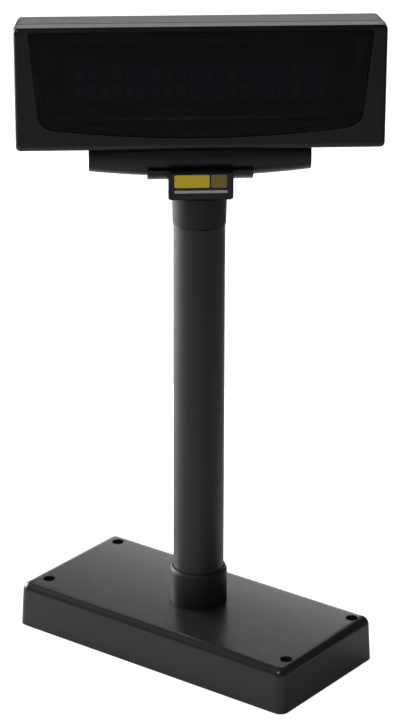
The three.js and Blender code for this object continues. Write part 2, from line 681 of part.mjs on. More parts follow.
function headLead() {
  const route = new THREE.CatmullRomCurve3([
    new THREE.Vector3(0, 0, TILT_Z),
    new THREE.Vector3(0, 0.6, TILT_Z + 4),
    new THREE.Vector3(0, 2.4, TILT_Z + 8),
    new THREE.Vector3(-1, 5.4, TILT_Z + 13),
    new THREE.Vector3(-7, 7, TILT_Z + 18),
    new THREE.Vector3(-16.2, 7, TILT_Z + 20),
  ]);
  const section = new THREE.Shape().absarc(0, 0, 2.2, 0, Math.PI * 2);
  return solidOf(
    new THREE.ExtrudeGeometry(section, { steps: 14, curveSegments: 8, extrudePath: route }),
  );
}

function addHead(group) {
  const place = (name, solid, material) => group.add(meshOf(name, solid, material));
  place("tilt_cradle", tiltCradle(), MATERIAL.housing);
  place("front_bezel", frontBezel(), MATERIAL.housing);
  const pane = slab(windowOutline(0), [HEAD.front, HEAD.front + WINDOW.thick]);
  place("filter_window", pane, MATERIAL.window);
  place("rear_housing", rearHousing(), MATERIAL.housing);
  place(
    "vfd_tube",
    block([-VFD.halfX, VFD.halfX], [VFD.front, VFD.back], [VFD.bottom, VFD.top]),
    MATERIAL.glass,
  );
  place("vfd_lead_frame", leadFrame(), MATERIAL.steel);
  place("foam_frame", foamFrame(), MATERIAL.foam);
  place("display_board", displayBoard(), MATERIAL.board);
  const face = DISPLAY_BOARD.back + GAP;
  const onBoard = (name, x, depth, [low, high]) => {
    const piece = block(x, [face, face + depth], [HEAD.bottom + low, HEAD.bottom + high]);
    place(name, piece, MATERIAL.chip);
  };
  onBoard("controller_chip", [-7, 7], 2.2, [35, 49]);
  onBoard("driver_chip_left", [-58, -40], 2.4, [25, 33]);
  onBoard("driver_chip_right", [40, 58], 2.4, [25, 33]);
  onBoard("converter_transformer", [62, 79], 11, [43, 58]);
  onBoard("head_header", [-26, -17], 9.4, [10, 19]);
  place("head_capacitor", rod("y", 4, [face, face + 11], [50, HEAD.bottom + 51], 16), MATERIAL.chip);
  place("head_lead", headLead(), MATERIAL.cable);
  for (const [where, x, z] of housingScrewSpots)
    place(
      "housing_screw_" + where,
      screw("y", [x, z], HOUSING_SCREW.seat + GAP, -1, HOUSING_SCREW, 17),
      MATERIAL.steel,
    );
  for (const [where, spot] of boardScrewSpots)
    place("board_screw_" + where, screw("y", spot, face, -1, BOARD_SCREW, 9), MATERIAL.steel);
  const floor = HEAD.bottom + WALL + GAP + 0.3;
  for (const [where, spot] of cradleScrewSpots)
    place("cradle_screw_" + where, screw("z", spot, floor, -1, CRADLE_SCREW, 8.6), MATERIAL.steel);
}

// ---------------------------------------------------------------- assembly

const display = new THREE.Group();
addBase(display);
addPole(display);

const turned = new THREE.Group();
turned.rotation.z = (HEAD_YAW * Math.PI) / 180;
addNeck(turned);
addHead(turned);
display.add(turned);

export default display;
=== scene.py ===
"""Customer pole display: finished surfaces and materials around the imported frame.

Shapes are written in millimetres and become metres as each mesh is made. The base is built
in the frame's own axes. The neck and the head are built facing -Y, about the pole's axis,
and are then turned with HEAD_TURN to where the frame holds them.
"""

import math

import bmesh
import bpy
from mathutils import Matrix, Vector


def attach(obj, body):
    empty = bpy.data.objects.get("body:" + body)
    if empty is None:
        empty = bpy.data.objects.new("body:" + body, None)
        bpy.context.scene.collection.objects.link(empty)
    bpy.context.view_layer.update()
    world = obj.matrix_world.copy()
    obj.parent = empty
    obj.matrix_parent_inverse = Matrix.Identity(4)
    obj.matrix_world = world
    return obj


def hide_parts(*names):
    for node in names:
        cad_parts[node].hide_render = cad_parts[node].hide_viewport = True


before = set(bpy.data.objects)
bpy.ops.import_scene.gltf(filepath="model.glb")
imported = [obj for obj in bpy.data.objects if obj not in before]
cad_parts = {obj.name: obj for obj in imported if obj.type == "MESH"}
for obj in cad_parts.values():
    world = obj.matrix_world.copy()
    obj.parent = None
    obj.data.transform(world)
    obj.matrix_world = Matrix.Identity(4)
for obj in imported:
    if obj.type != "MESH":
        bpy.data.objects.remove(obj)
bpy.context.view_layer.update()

# ---------------------------------------------------------------- dimensions, millimetres

MM = 0.001
HEAD_TURN = Matrix.Rotation(math.radians(40), 4, "Z")
WALL = 2.5
SEAM_GAP = 0.3
BEVEL_SEGMENTS, BEVEL_ANGLE, SMOOTH_ANGLE = 2, math.radians(38), math.radians(48)
FLAT_AREA = 400
SCREW_CLEARANCE = 1.7

BASE_HALF = (107.2, 50.7)
BASE_MIDDLE = (-2.0, -2.2)
BASE_BOTTOM, BASE_TOP = 1.0, 30.8
BASE_CORNER, BASE_EDGE, BASE_DRAFT = 6.0, 5.5, 1.2
REAR_WALL = BASE_HALF[1] + BASE_MIDDLE[1]
DATA_PORT_X, DATA_PORT_Z = (-66, -49), (9, 23)
POWER_PORT, POWER_PORT_RADIUS = (-36, 15.5), 4.6
HOLE_X, HOLE_Y, HOLE_RADIUS, HOLE_THROAT = 95.7, 36.2, 4.0, 3.1
HOLE_LEDGE, HOLE_POST = 5, 6.2
FOOT_X, FOOT_Y = 78, 38
PLATE_SCREW_X, PLATE_SCREW_Y = 96.5, 20
COLLAR_RADIUS, COLLAR_BORE, COLLAR_BOTTOM, COLLAR_TOP = 18.4, 16.5, 17, 55.0
FLANGE_RADIUS, FLANGE_TOP, FLANGE_EDGE = 27, 20.2, 0.4
COLLAR_SCREW_SPREAD = 22.5 / math.sqrt(2)
LOCK_SCREW_SPOT, LOCK_CLEARANCE = (0, 45), 2.3
CABLE_HOLE = 9
POLE_RADIUS, POLE_WALL, POLE_BOTTOM, POLE_TOP = 16.2, 1.5, 20.5, 287.5
COUPLING_RADIUS, COUPLING_TOP = 17.1, 307.2
SPIGOT_RADIUS, SPIGOT_BOTTOM, SPIGOT_BORE = 14.4, 262, 11.6
SHELF_BOTTOM, SHELF_TOP, SHELF_BORE, CUP_RADIUS = 292, 297, 6.3, 12.6
LABEL_HALF, LABEL_LOW, LABEL_HIGH = 18.9, 308.9, 325.0
LABEL_FRONT, LABEL_THICK = -18.7, 0.6

HEAD_HALF, HEAD_LOW, HEAD_HIGH = 112.0, 338.6, 415.5
HEAD_FRONT, HEAD_SEAM, HEAD_BACK = -16.5, -5.0, 16.5
HEAD_CORNER = 3.0
FACE, PANE = 3.6, 2
WINDOW_TOP, WINDOW_LOW, WINDOW_DIP = HEAD_LOW + 74, HEAD_LOW + 15, HEAD_LOW + 3
WINDOW_WIDE, WINDOW_NARROW = 103.5, 97
HOUSING_TAPER, HOUSING_DROP = 2.2, 0.5
HOUSING_SCREW_X, HOUSING_SCREW_IN, HOUSING_SCREW_SEAT = 104.6, 6.5, 8
HOUSING_POST, HOUSING_WELL, HOUSING_CLEARANCE = 4.6, 3.2, 1.65
BOARD_SCREW_X, BOARD_SCREW_Z = 98.6, HEAD_LOW + 39
CRADLE_SCREW_X, CRADLE_SCREW_Y = 50, 3
LEAD_HOLE, LEAD_SPOT = 4.2, (0, 1.5)
VENT_X, VENT_HALF, VENT_TALL, VENT_PITCH, VENT_LOW = 44, 17, 2.6, 6, HEAD_LOW + 27
GLASS_FRONT, GLASS_BACK = -9.4, -2.6
GLASS_HALF, GLASS_LOW, GLASS_HIGH = 94.0, HEAD_LOW + 19.6, HEAD_LOW + 63.6
CELL_COLUMNS, CELL_PITCH, CELL_WIDE, CELL_TALL, CELL_GAP = 20, 7.7, 5.3, 8.2, 2.6

CORNERS = [("front_left", -1, -1), ("front_right", 1, -1), ("rear_left", -1, 1), ("rear_right", 1, 1)]
SIDES = [("left", -1), ("right", 1)]

# ---------------------------------------------------------------- shader helpers


class Nodes:
    """A short way to add nodes to one material and link them up."""

    def __init__(self, name):
        self.material = bpy.data.materials.new(name)
        self.material.use_nodes = True
        self.tree = self.material.node_tree
        self.shader = self.tree.nodes["Principled BSDF"]
        self.place = self.add("ShaderNodeTexCoord").outputs["Object"]

    def add(self, kind, **settings):
        node = self.tree.nodes.new(kind)
        for key, value in settings.items():
            setattr(node, key, value)
        return node

    def link(self, source, target):
        self.tree.links.new(source, target)

    def put(self, name, value):
        """Sets one of the shader's inputs to a value, or links a node's output to it."""
        if isinstance(value, bpy.types.NodeSocket):
            self.link(value, self.shader.inputs[name])
        else:
            self.shader.inputs[name].default_value = value

    def noise(self, scale, detail=2.0, stretch=(1, 1, 1)):
        spread = self.add("ShaderNodeMapping")
        spread.inputs["Scale"].default_value = stretch
        self.link(self.place, spread.inputs["Vector"])
        node = self.add("ShaderNodeTexNoise")
        node.inputs["Scale"].default_value = scale
        node.inputs["Detail"].default_value = detail
        self.link(spread.outputs["Vector"], node.inputs["Vector"])
        return node.outputs["Fac"]

    def remap(self, value, low, high, start=0.3, end=0.7):
        node = self.add("ShaderNodeMapRange")
        node.inputs["From Min"].default_value = start
        node.inputs["From Max"].default_value = end
        node.inputs["To Min"].default_value = low
        node.inputs["To Max"].default_value = high
        self.link(value, node.inputs["Value"])
        return node.outputs["Result"]

    def blend(self, factor, first, second):
        node = self.add("ShaderNodeMix", data_type="RGBA")
        self.link(factor, node.inputs["Factor"])
        for colour, socket in ((first, node.inputs["A"]), (second, node.inputs["B"])):
            if isinstance(colour, tuple):
                socket.default_value = (*colour, 1)
            else:
                self.link(colour, socket)
        return node.outputs["Result"]

    def bump(self, height, strength, distance_mm):
        node = self.add("ShaderNodeBump")
        node.inputs["Strength"].default_value = strength
        node.inputs["Distance"].default_value = distance_mm * MM
        self.link(height, node.inputs["Height"])
        self.link(node.outputs["Normal"], self.shader.inputs["Normal"])


def shade(colour, factor):
    return tuple(min(1, c * factor) for c in colour)


def moulded(name, colour, roughness, grain_mm=0.35, relief=0.12, specular=0.5):
    """Moulded plastic: fine spark-eroded grain, with a faint drift of shade and of polish."""
    n = Nodes(name)
    drift = n.blend(n.remap(n.noise(14), 0, 1), shade(colour, 0.86), shade(colour, 1.14))
    n.put("Base Color", n.blend(n.remap(n.noise(1400, 2), 0, 0.35), drift, shade(colour, 2.2)))
    n.put("Roughness", n.remap(n.noise(160, 3), roughness * 0.92, roughness * 1.08))
    n.put("Specular IOR Level", specular)
    n.bump(n.noise(1 / (grain_mm * MM), 1), relief, 0.06)
    return n.material


def painted(name, colour, roughness, specular):
    """Satin paint on steel tube: slight orange peel and long faint draw marks."""
    n = Nodes(name)
    marks = n.noise(500, 2, (1, 1, 0.02))
    n.put("Base Color", n.blend(n.remap(marks, 0, 1), shade(colour, 0.9), shade(colour, 1.1)))
    n.put("Roughness", n.remap(n.noise(120, 3), roughness * 0.93, roughness * 1.07))
    n.put("Specular IOR Level", specular)
    n.bump(n.noise(900, 2), 0.08, 0.05)
    return n.material


def metal(name, colour, roughness):
    """Plated metal with a fine, slightly uneven finish."""
    n = Nodes(name)
    drift = n.remap(n.noise(220, 3), 0, 1)
    n.put("Base Color", n.blend(drift, shade(colour, 0.8), shade(colour, 1.1)))
    n.put("Roughness", n.remap(n.noise(700, 2), roughness * 0.8, roughness * 1.25))
    n.put("Metallic", 1.0)
    n.bump(n.noise(1500, 2), 0.05, 0.03)
    return n.material


def rubber(name, colour=(0.018, 0.018, 0.018)):
    """Matt rubber with a little dust in its pores."""
    n = Nodes(name)
    dust = n.remap(n.noise(60, 4), 0, 0.6, 0.45, 0.75)
    n.put("Base Color", n.blend(dust, colour, shade(colour, 3)))
    n.put("Roughness", n.remap(n.noise(300, 3), 0.75, 0.95))
    n.put("Specular IOR Level", 0.3)
    n.bump(n.noise(1800, 2), 0.2, 0.05)
    return n.material


def smoked_acrylic(name):
    """A dark filter that lets a little of the display tube show through."""
    n = Nodes(name)
    drift = n.remap(n.noise(9), 0, 1)
    n.put("Base Color", n.blend(drift, (0.003, 0.0035, 0.0045), (0.0045, 0.005, 0.0065)))
    n.put("Roughness", n.remap(n.noise(40, 3), 0.05, 0.09))
    n.put("Specular IOR Level", 0.24)
    n.put("Alpha", 0.6)
    n.bump(n.noise(25, 1), 0.02, 0.05)
    return n.material


def circuit_board(name):
    """Green solder mask over copper tracks that show as a faint raised pattern."""
    n = Nodes(name)
    tracks = n.add("ShaderNodeTexBrick", offset=0.35)
    tracks.inputs["Scale"].default_value = 320
    tracks.inputs["Mortar Size"].default_value = 0.03
    tracks.inputs["Color1"].default_value = (0.012, 0.10, 0.04, 1)
    tracks.inputs["Color2"].default_value = (0.015, 0.13, 0.05, 1)
    tracks.inputs["Mortar"].default_value = (0.03, 0.20, 0.08, 1)
    n.link(n.place, tracks.inputs["Vector"])
    n.put("Base Color", tracks.outputs["Color"])
    n.put("Roughness", n.remap(n.noise(200), 0.25, 0.4))
    n.bump(tracks.outputs["Fac"], 0.3, 0.04)
    return n.material


def print_ink(name, colour, roughness):
    """Screen-printed ink with a slightly uneven lay."""
    n = Nodes(name)
    lay = n.remap(n.noise(400, 3), 0, 1)
    n.put("Base Color", n.blend(lay, shade(colour, 0.95), shade(colour, 1.03)))
    n.put("Roughness", n.remap(n.noise(600), roughness * 0.9, roughness * 1.15))
    n.bump(n.noise(2500), 0.05, 0.02)
    return n.material


BASE_PLASTIC = moulded("base_plastic", (0.0165, 0.0175, 0.017), 0.25)
HEAD_PLASTIC = moulded("head_plastic", (0.0045, 0.0045, 0.005), 0.31)
NECK_PLASTIC = moulded("neck_plastic", (0.008, 0.008, 0.0085), 0.36, specular=0.36)
COLLAR_PLASTIC = moulded("collar_plastic", (0.008, 0.0085, 0.0095), 0.50, specular=0.40)
POLE_PAINT = painted("pole_paint", (0.012, 0.012, 0.0122), 0.45, specular=0.6)
WINDOW_ACRYLIC = smoked_acrylic("smoked_acrylic")
TUBE_GLASS = print_ink("tube_glass", (0.02, 0.024, 0.03), 0.15)
TUBE_CELLS = print_ink("display_cells", (0.065, 0.10, 0.21), 0.5)
TUBE_MASK = print_ink("display_mask", (0.03, 0.035, 0.04), 0.4)
LABEL_FILM = print_ink("label_film", (0.010, 0.010, 0.012), 0.22)
LABEL_YELLOW = print_ink("label_yellow", (0.88, 0.62, 0.022), 0.3)
LABEL_AMBER = print_ink("label_amber", (0.27, 0.19, 0.05), 0.3)
LABEL_PALE = print_ink("label_pale", (0.50, 0.51, 0.56), 0.35)
ZINC = metal("zinc_plate", (0.55, 0.56, 0.58), 0.34)
CAST = moulded("painted_cast_weight", (0.10, 0.10, 0.105), 0.6, 0.8, 0.3)
RUBBER = rubber("foot_rubber")
JACKET = rubber("cable_jacket", (0.020, 0.020, 0.022))
FOAM = rubber("gasket_foam", (0.014, 0.014, 0.015))
BOARD = circuit_board("circuit_board")
PACKAGE = moulded("chip_package", (0.020, 0.020, 0.021), 0.5, 0.2, 0.2)
CONNECTOR = moulded("connector_moulding", (0.014, 0.014, 0.014), 0.38, 0.5, 0.08)

# ---------------------------------------------------------------- mesh helpers


def rounded_outline(half_x, low, high, corner, steps=8):
    """A rounded rectangle's points, anticlockwise."""
    arcs = [
        (half_x - corner, low + corner, -90),
        (half_x - corner, high - corner, 0),
        (-half_x + corner, high - corner, 90),
        (-half_x + corner, low + corner, 180),
    ]
    points = []
    for x, y, start in arcs:
        for i in range(steps + 1):
            angle = math.radians(start + 90 * i / steps)
            points.append((x + corner * math.cos(angle), y + corner * math.sin(angle)))
    return points


def circle(radius, sides):
    """A circle's points, anticlockwise."""
    return [
        (radius * math.cos(2 * math.pi * i / sides), radius * math.sin(2 * math.pi * i / sides))
        for i in range(sides)
    ]


def loft(rings):
    """A closed solid through rings of points, flat at both ends."""
    bm = bmesh.new()
    loops = [[bm.verts.new(Vector(p) * MM) for p in ring] for ring in rings]
    for first, second in zip(loops, loops[1:]):
        count = len(first)
        for i in range(count):
            j = (i + 1) % count
            bm.faces.new((first[i], first[j], second[j], second[i]))
    bm.faces.new(list(reversed(loops[0])))
    bm.faces.new(loops[-1])
    bmesh.ops.recalc_face_normals(bm, faces=bm.faces)
    return bm


def along(axis, outline, height):
    """An outline in the two other axes, placed at one height along this axis."""
    if axis == "z":
        return [(x, y, height) for x, y in outline]
    if axis == "y":
        return [(x, height, z) for x, z in outline]
    return [(height, y, z) for y, z in outline]


def shaft(axis, steps, centre=(0, 0), sides=64):
    """A round solid from (radius, height) steps along an axis."""
    a, b = centre
    rings = [
        along(axis, [(x + a, y + b) for x, y in circle(radius, sides)], height)
        for radius, height in steps
    ]
    return loft(rings)


def rod(axis, radius, span, centre=(0, 0), sides=64):
    """A straight round solid, mostly used as a cutter that reaches past the piece."""
    return shaft(axis, [(radius, height) for height in span], centre, sides)


def block(x, y, z):
    """A plain box, used as a cutter."""
    return loft([[(x[0], y[0], h), (x[1], y[0], h), (x[1], y[1], h), (x[0], y[1], h)] for h in z])


def as_object(name, bm):
    """Turns a bmesh into an object in the scene."""
    mesh = bpy.data.meshes.new(name)
    bm.to_mesh(mesh)
    bm.free()
    obj = bpy.data.objects.new(name, mesh)
    bpy.context.scene.collection.objects.link(obj)
    return obj


def bake_modifiers(obj):
    """Turns an object's modifiers into its mesh."""
    graph = bpy.context.evaluated_depsgraph_get()
    mesh = bpy.data.meshes.new_from_object(obj.evaluated_get(graph))
    obj.modifiers.clear()
    obj.data = mesh


def cut(obj, tools):
    """Cuts tools out of an object. A tool is a bmesh or another object, and is used up."""
    for i, tool in enumerate(tools):
        helper = tool if isinstance(tool, bpy.types.Object) else as_object(f"tool_{i}", tool)
        modifier = obj.modifiers.new("boolean", "BOOLEAN")
        modifier.operation = "DIFFERENCE"
        modifier.solver = "EXACT"
        modifier.object = helper
        bake_modifiers(obj)
        bpy.data.objects.remove(helper)
    return obj


def level_flat_faces(mesh):
    """Shades each face over FLAT_AREA square millimetres as one plane, with no faint creases."""
    normals = [corner.vector.copy() for corner in mesh.corner_normals]
    corners_at = {}
    for loop in mesh.loops:
        corners_at.setdefault(loop.vertex_index, []).append(loop.index)
    for face in mesh.polygons:
        if face.area < FLAT_AREA * MM**2:
            continue
        for corner in face.loop_indices:
            shared = normals[corner].copy()
            for other in corners_at[mesh.loops[corner].vertex_index]:
                if (normals[other] - shared).length < 0.001:
                    normals[other] = face.normal.copy()
    mesh.normals_split_custom_set(normals)


def soften(obj, width):
    """Rounds the sharp edges a little and shades the rest smoothly."""
    if width:
        bevel = obj.modifiers.new("bevel", "BEVEL")
        bevel.width = width * MM
        bevel.segments = BEVEL_SEGMENTS
        bevel.limit_method = "ANGLE"
        bevel.angle_limit = BEVEL_ANGLE
        bevel.use_clamp_overlap = True
    bake_modifiers(obj)
    obj.data.polygons.foreach_set("use_smooth", [True] * len(obj.data.polygons))
    obj.data.set_sharp_from_angle(angle=SMOOTH_ANGLE)
    weighted = obj.modifiers.new("weighted", "WEIGHTED_NORMAL")
    weighted.keep_sharp = True
    bake_modifiers(obj)
    level_flat_faces(obj.data)


def settle(obj, body, nodes, material, width, turned=False):
    """Finishes a piece: edges, material, and the frame body and nodes that it stands for."""
    if turned:
        obj.data.transform(HEAD_TURN)
    soften(obj, width)
    obj.data.materials.clear()
    obj.data.materials.append(material)
    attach(obj, body)
    if nodes:
        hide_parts(*nodes)


def refined(node, body, material, width):
    """A frame node's own shape again, with its flat faces whole and its edges rounded."""
    bm = bmesh.new()
    bm.from_mesh(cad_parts[node].data)
    bmesh.ops.remove_doubles(bm, verts=bm.verts, dist=0.002 * MM)
    bmesh.ops.dissolve_limit(bm, angle_limit=math.radians(0.6), verts=bm.verts, edges=bm.edges)
    obj = as_object(node + "_finished", bm)
    settle(obj, body, [node], material, width)


# ---------------------------------------------------------------- base


def base_ring(height, inset):
    """The base's outline at one height, drawn in by its draft and by the inset."""
    half_x, half_y = BASE_HALF
    share = max(0, (height - BASE_BOTTOM) / (BASE_TOP - BASE_BOTTOM))
    lean = BASE_DRAFT * share + inset
    corner = max(BASE_CORNER - inset, 0.5)
    outline = rounded_outline(half_x - lean, -half_y + lean, half_y - lean, corner, 10)
    cx, cy = BASE_MIDDLE
    return [(x + cx, y + cy, height) for x, y in outline]


def base_body(bottom, top, inset, edge, steps):
    """The base's outline from bottom to top, with its top edge rounded over."""
    rings = [base_ring(bottom, inset), base_ring(top - edge, inset)]
    for i in range(1, steps + 1):
        angle = math.radians(90 * i / steps)
        height = top - edge + edge * math.sin(angle)
        rings.append(base_ring(height, inset + edge * (1 - math.cos(angle))))
    return loft(rings)


def make_base_cover():
    """A hollow cover with four screw posts, stepped holes in them, and two ports at the rear."""
    cover = as_object("base_cover_finished", base_body(BASE_BOTTOM, BASE_TOP, 0, BASE_EDGE, 12))
    room = as_object("room", base_body(-5, BASE_TOP - WALL, WALL, BASE_EDGE - WALL, 4))
    spots = [(HOLE_X * sx, HOLE_Y * sy) for _, sx, sy in CORNERS]
    cut(room, [rod("z", HOLE_POST, (-6, BASE_TOP), spot) for spot in spots])
    cut(cover, [room])
    steps = [(HOLE_THROAT, -4), (HOLE_THROAT, HOLE_LEDGE), (HOLE_RADIUS, HOLE_LEDGE), (HOLE_RADIUS, 40)]
    holes = [shaft("z", steps, spot) for spot in spots]
    collar_hole = rod("z", COLLAR_RADIUS + SEAM_GAP, (20, 40), sides=96)
    foot_trim = block((-120, 120), (-70, 70), (-10, BASE_BOTTOM))
    through_wall = (REAR_WALL - 6, REAR_WALL + 2)
    data_port = block(DATA_PORT_X, through_wall, DATA_PORT_Z)
    power_port = rod("y", POWER_PORT_RADIUS, through_wall, POWER_PORT, 48)
    cut(cover, [*holes, collar_hole, foot_trim, data_port, power_port])
    settle(cover, "base_and_pole", ["base_cover"], BASE_PLASTIC, 0.35)


def make_foot(where, sx, sy):
    """A rubber foot with a shallow ring groove under it."""
    spot = (FOOT_X * sx, FOOT_Y * sy)
    steps = [(5.2, 0), (5.7, 0.15), (6.4, 1.4), (6.5, 1.7)]
    foot = as_object("foot_finished_" + where, shaft("z", steps, spot, 48))
    groove = as_object("groove", rod("z", 3.6, (-0.1, 0.35), spot, 40))
    cut(groove, [rod("z", 2.6, (-0.2, 0.5), spot, 40)])
    cut(foot, [groove])
    settle(foot, "base_and_pole", ["foot_" + where], RUBBER, 0.1)


def make_screw(node, body, axis, centre, level, direction, radii, length, tall=1.8):
    """A pan-head screw with a cross recess. Its head rests at the level given, and its shank,
    the first of the two radii, runs from there in the direction given, up or down the axis."""
    shank, head = radii
    top = level - direction * tall
    crown = [
        (0.25 * head, top),
        (0.72 * head, level - direction * tall * 0.93),
        (0.93 * head, level - direction * tall * 0.66),
        (head, level - direction * tall * 0.25),
        (head, level),
        (shank, level),
        (shank, level + direction * (length - 1)),
        (shank * 0.45, level + direction * length),
    ]
    screw = as_object(node + "_finished", shaft(axis, crown, centre, 32))
    slot = 0.62 * head
    thin = 0.16 * head
    deep = tuple(sorted((top - direction * 0.1, level - direction * tall * 0.3)))
    a, b = centre
    for reach_a, reach_b in ((slot, thin), (thin, slot)):
        first = (a - reach_a, a + reach_a)
        second = (b - reach_b, b + reach_b)
        spans = {"z": (first, second, deep), "y": (first, deep, second)}
        cut(screw, [block(*spans[axis])])
    turned = body != "base_and_pole"
    settle(screw, body, [node], ZINC, 0, turned=turned)


def make_base_screws():
    for where, sx, sy in CORNERS:
        spot = (PLATE_SCREW_X * sx, PLATE_SCREW_Y * sy)
        make_screw("plate_screw_" + where, "base_and_pole", "z", spot, 1.7, 1, (1.4, 2.9), 14, 1.1)
        spot = (COLLAR_SCREW_SPREAD * sx, COLLAR_SCREW_SPREAD * sy)
        level = COLLAR_BOTTOM - SEAM_GAP
        make_screw("collar_screw_" + where, "base_and_pole", "z", spot, level, 1, (1.4, 2.9), 9)
    make_screw("pole_lock_screw", "base_and_pole", "y", LOCK_SCREW_SPOT, 18.3, -1, (2, 3.5), 2.1, 2)


# ---------------------------------------------------------------- pole


def arc_steps(radius, height, edge, count):
    """Steps that round a shaft's upper end."""
    return [
        (
            radius - edge * (1 - math.cos(math.radians(90 * i / count))),
            height - edge * (1 - math.sin(math.radians(90 * i / count))),
        )
        for i in range(count + 1)
    ]


def make_collar():
    """A collar that holds the pole, with a chamfered rim and a flange under the cover."""
    low, high = COLLAR_BOTTOM, FLANGE_TOP
    outside = [(FLANGE_RADIUS - FLANGE_EDGE, low), (FLANGE_RADIUS, low + FLANGE_EDGE)]
    outside += [(FLANGE_RADIUS, high - FLANGE_EDGE), (FLANGE_RADIUS - FLANGE_EDGE, high)]
    outside += [(COLLAR_RADIUS, high), (COLLAR_RADIUS, COLLAR_TOP - 2.4)]
    outside += [(COLLAR_RADIUS - 0.15, COLLAR_TOP - 1.9), (COLLAR_RADIUS - 1.0, COLLAR_TOP - 0.15)]
    outside += [(COLLAR_RADIUS - 1.25, COLLAR_TOP)]
    collar = as_object("pole_collar_finished", shaft("z", outside, sides=96))
    bore = rod("z", COLLAR_BORE, (high, COLLAR_TOP + 2), sides=96)
    spread = COLLAR_SCREW_SPREAD
    through_floor = (16, 22)
    screw_holes = [
        rod("z", SCREW_CLEARANCE, through_floor, (spread * sx, spread * sy), 24)
        for _, sx, sy in CORNERS
    ]
    lock_hole = rod("y", LOCK_CLEARANCE, (10, 20), LOCK_SCREW_SPOT, 32)
    cable_hole = rod("z", CABLE_HOLE, through_floor, sides=48)
    cut(collar, [bore, cable_hole, lock_hole, *screw_holes])
    settle(collar, "base_and_pole", ["pole_collar"], COLLAR_PLASTIC, 0.12)


def make_tube():
    outside = [(POLE_RADIUS, POLE_BOTTOM), *arc_steps(POLE_RADIUS, POLE_TOP, 0.3, 3)]
    tube = as_object("pole_tube_finished", shaft("z", outside, sides=128))
    cut(tube, [rod("z", POLE_RADIUS - POLE_WALL, (POLE_BOTTOM - 2, POLE_TOP + 2), sides=96)])
    settle(tube, "base_and_pole", ["pole_tube"], POLE_PAINT, 0)


def make_coupling():
    """A sleeve that stands on the pole, with a spigot inside it and a shelf for the swivel."""
    low = POLE_TOP + SEAM_GAP
    wide = COUPLING_RADIUS
    outside = [(SPIGOT_RADIUS, SPIGOT_BOTTOM), (SPIGOT_RADIUS, low)]
    outside += [(wide - 0.7, low), (wide - 0.4, low + 0.3)]
    outside += [(wide, COUPLING_TOP - 0.4), (wide - 0.3, COUPLING_TOP)]
    coupling = as_object("pole_coupling_finished", shaft("z", outside, sides=128))
    cup = rod("z", CUP_RADIUS, (SHELF_TOP, COUPLING_TOP + 2))
    well = rod("z", SPIGOT_BORE, (SPIGOT_BOTTOM - 2, SHELF_BOTTOM))
    bore = rod("z", SHELF_BORE, (SHELF_BOTTOM - 1, SHELF_TOP + 1))
    cut(coupling, [cup, well, bore])
    settle(coupling, "base_and_pole", ["pole_coupling"], COLLAR_PLASTIC, 0.1)


# ---------------------------------------------------------------- neck


def make_label():
    """A thin label plate with plain printed blocks and a rule, and no lettering."""
    front = LABEL_FRONT
    plate = [
        along("y", rounded_outline(LABEL_HALF - i, LABEL_LOW + i, LABEL_HIGH - i, 0.8, 5), y)
        for y, i in ((front + LABEL_THICK, 0), (front + 0.15, 0), (front, 0.2))
    ]
    obj = as_object("neck_label_finished", loft(plate))
    settle(obj, "neck", ["neck_label"], LABEL_FILM, 0, turned=True)
    prints = [
        ("label_bar", LABEL_YELLOW, (-16.2, 5.2), (315.9, 324.0), 1.0),
        ("label_patch", LABEL_AMBER, (6.2, 15.8), (315.9, 324.0), 1.0),
        ("label_rule", LABEL_PALE, (-16.2, 16.2), (312.5, 314.2), 0.4),
    ]
    for name, ink, (left, right), (low, high), corner in prints:
        middle = (left + right) / 2
        outline = rounded_outline((right - left) / 2, low, high, corner, 5)
        shifted = [(x + middle, z) for x, z in outline]
        rings = [along("y", shifted, y) for y in (front + 0.05, front - 0.05)]
        mark = as_object(name, loft(rings))
        settle(mark, "neck", [], ink, 0, turned=True)


# ---------------------------------------------------------------- head


def head_ring(y, inset, corner=HEAD_CORNER, lean=0.0, drop=0.0, rise=0.0):
    """The head's outline at one depth. The rise lifts its lower edge alone."""
    outline = rounded_outline(
        HEAD_HALF - inset - lean,
        HEAD_LOW + inset + drop + rise,
        HEAD_HIGH - inset - drop,
        max(corner - inset, 0.6),
        8,
    )
    return along("y", outline, y)


def rounding(radius, depth):
    """How far in a rounded edge has come at a depth behind the face."""
    if depth >= radius:
        return 0.0
    return radius - math.sqrt(radius**2 - (radius - depth) ** 2)


def quadratic(start, control, end, count):
    """Points on a curve that a control point bends. The end itself is left out."""
    points = []
    for i in range(count):
        t = i / count
        points.append(
            tuple(
                (1 - t) ** 2 * a + 2 * t * (1 - t) * b + t * t * c
                for a, b, c in zip(start, control, end)
            )
        )
    return points


def window_outline(inset):
    """The window's edge: sides that lean inwards going down, and a smiling lower edge."""
    top, low, dip = WINDOW_TOP - inset, WINDOW_LOW + inset, WINDOW_DIP + inset
    wide, narrow = WINDOW_WIDE - inset, WINDOW_NARROW - inset
    upper, lower = 3, 9
    lean = (wide - narrow) / (top - low)
    end = low - ((low - dip) * lower) / narrow
    side_top = wide - upper * lean
    side_low = narrow + lower * lean
    points = quadratic((-wide + upper, top), (-wide, top), (-side_top, top - upper), 6)
    points += quadratic((-side_low, low + lower), (-narrow, low), (-narrow + lower, end), 10)
    points += quadratic((-narrow + lower, end), (0, dip), (narrow - lower, end), 40)
    points += quadratic((narrow - lower, end), (narrow, low), (side_low, low + lower), 10)
    points += [(side_low, low + lower)]
    points += quadratic((side_top, top - upper), (wide, top), (wide - upper, top), 6)
    points += [(wide - upper, top)]
    return points


def housing_screw_spots():
    for row, z in (("lower", HEAD_LOW + HOUSING_SCREW_IN), ("upper", HEAD_HIGH - HOUSING_SCREW_IN)):
        for where, side in SIDES:
            yield row + "_" + where, HOUSING_SCREW_X * side, z


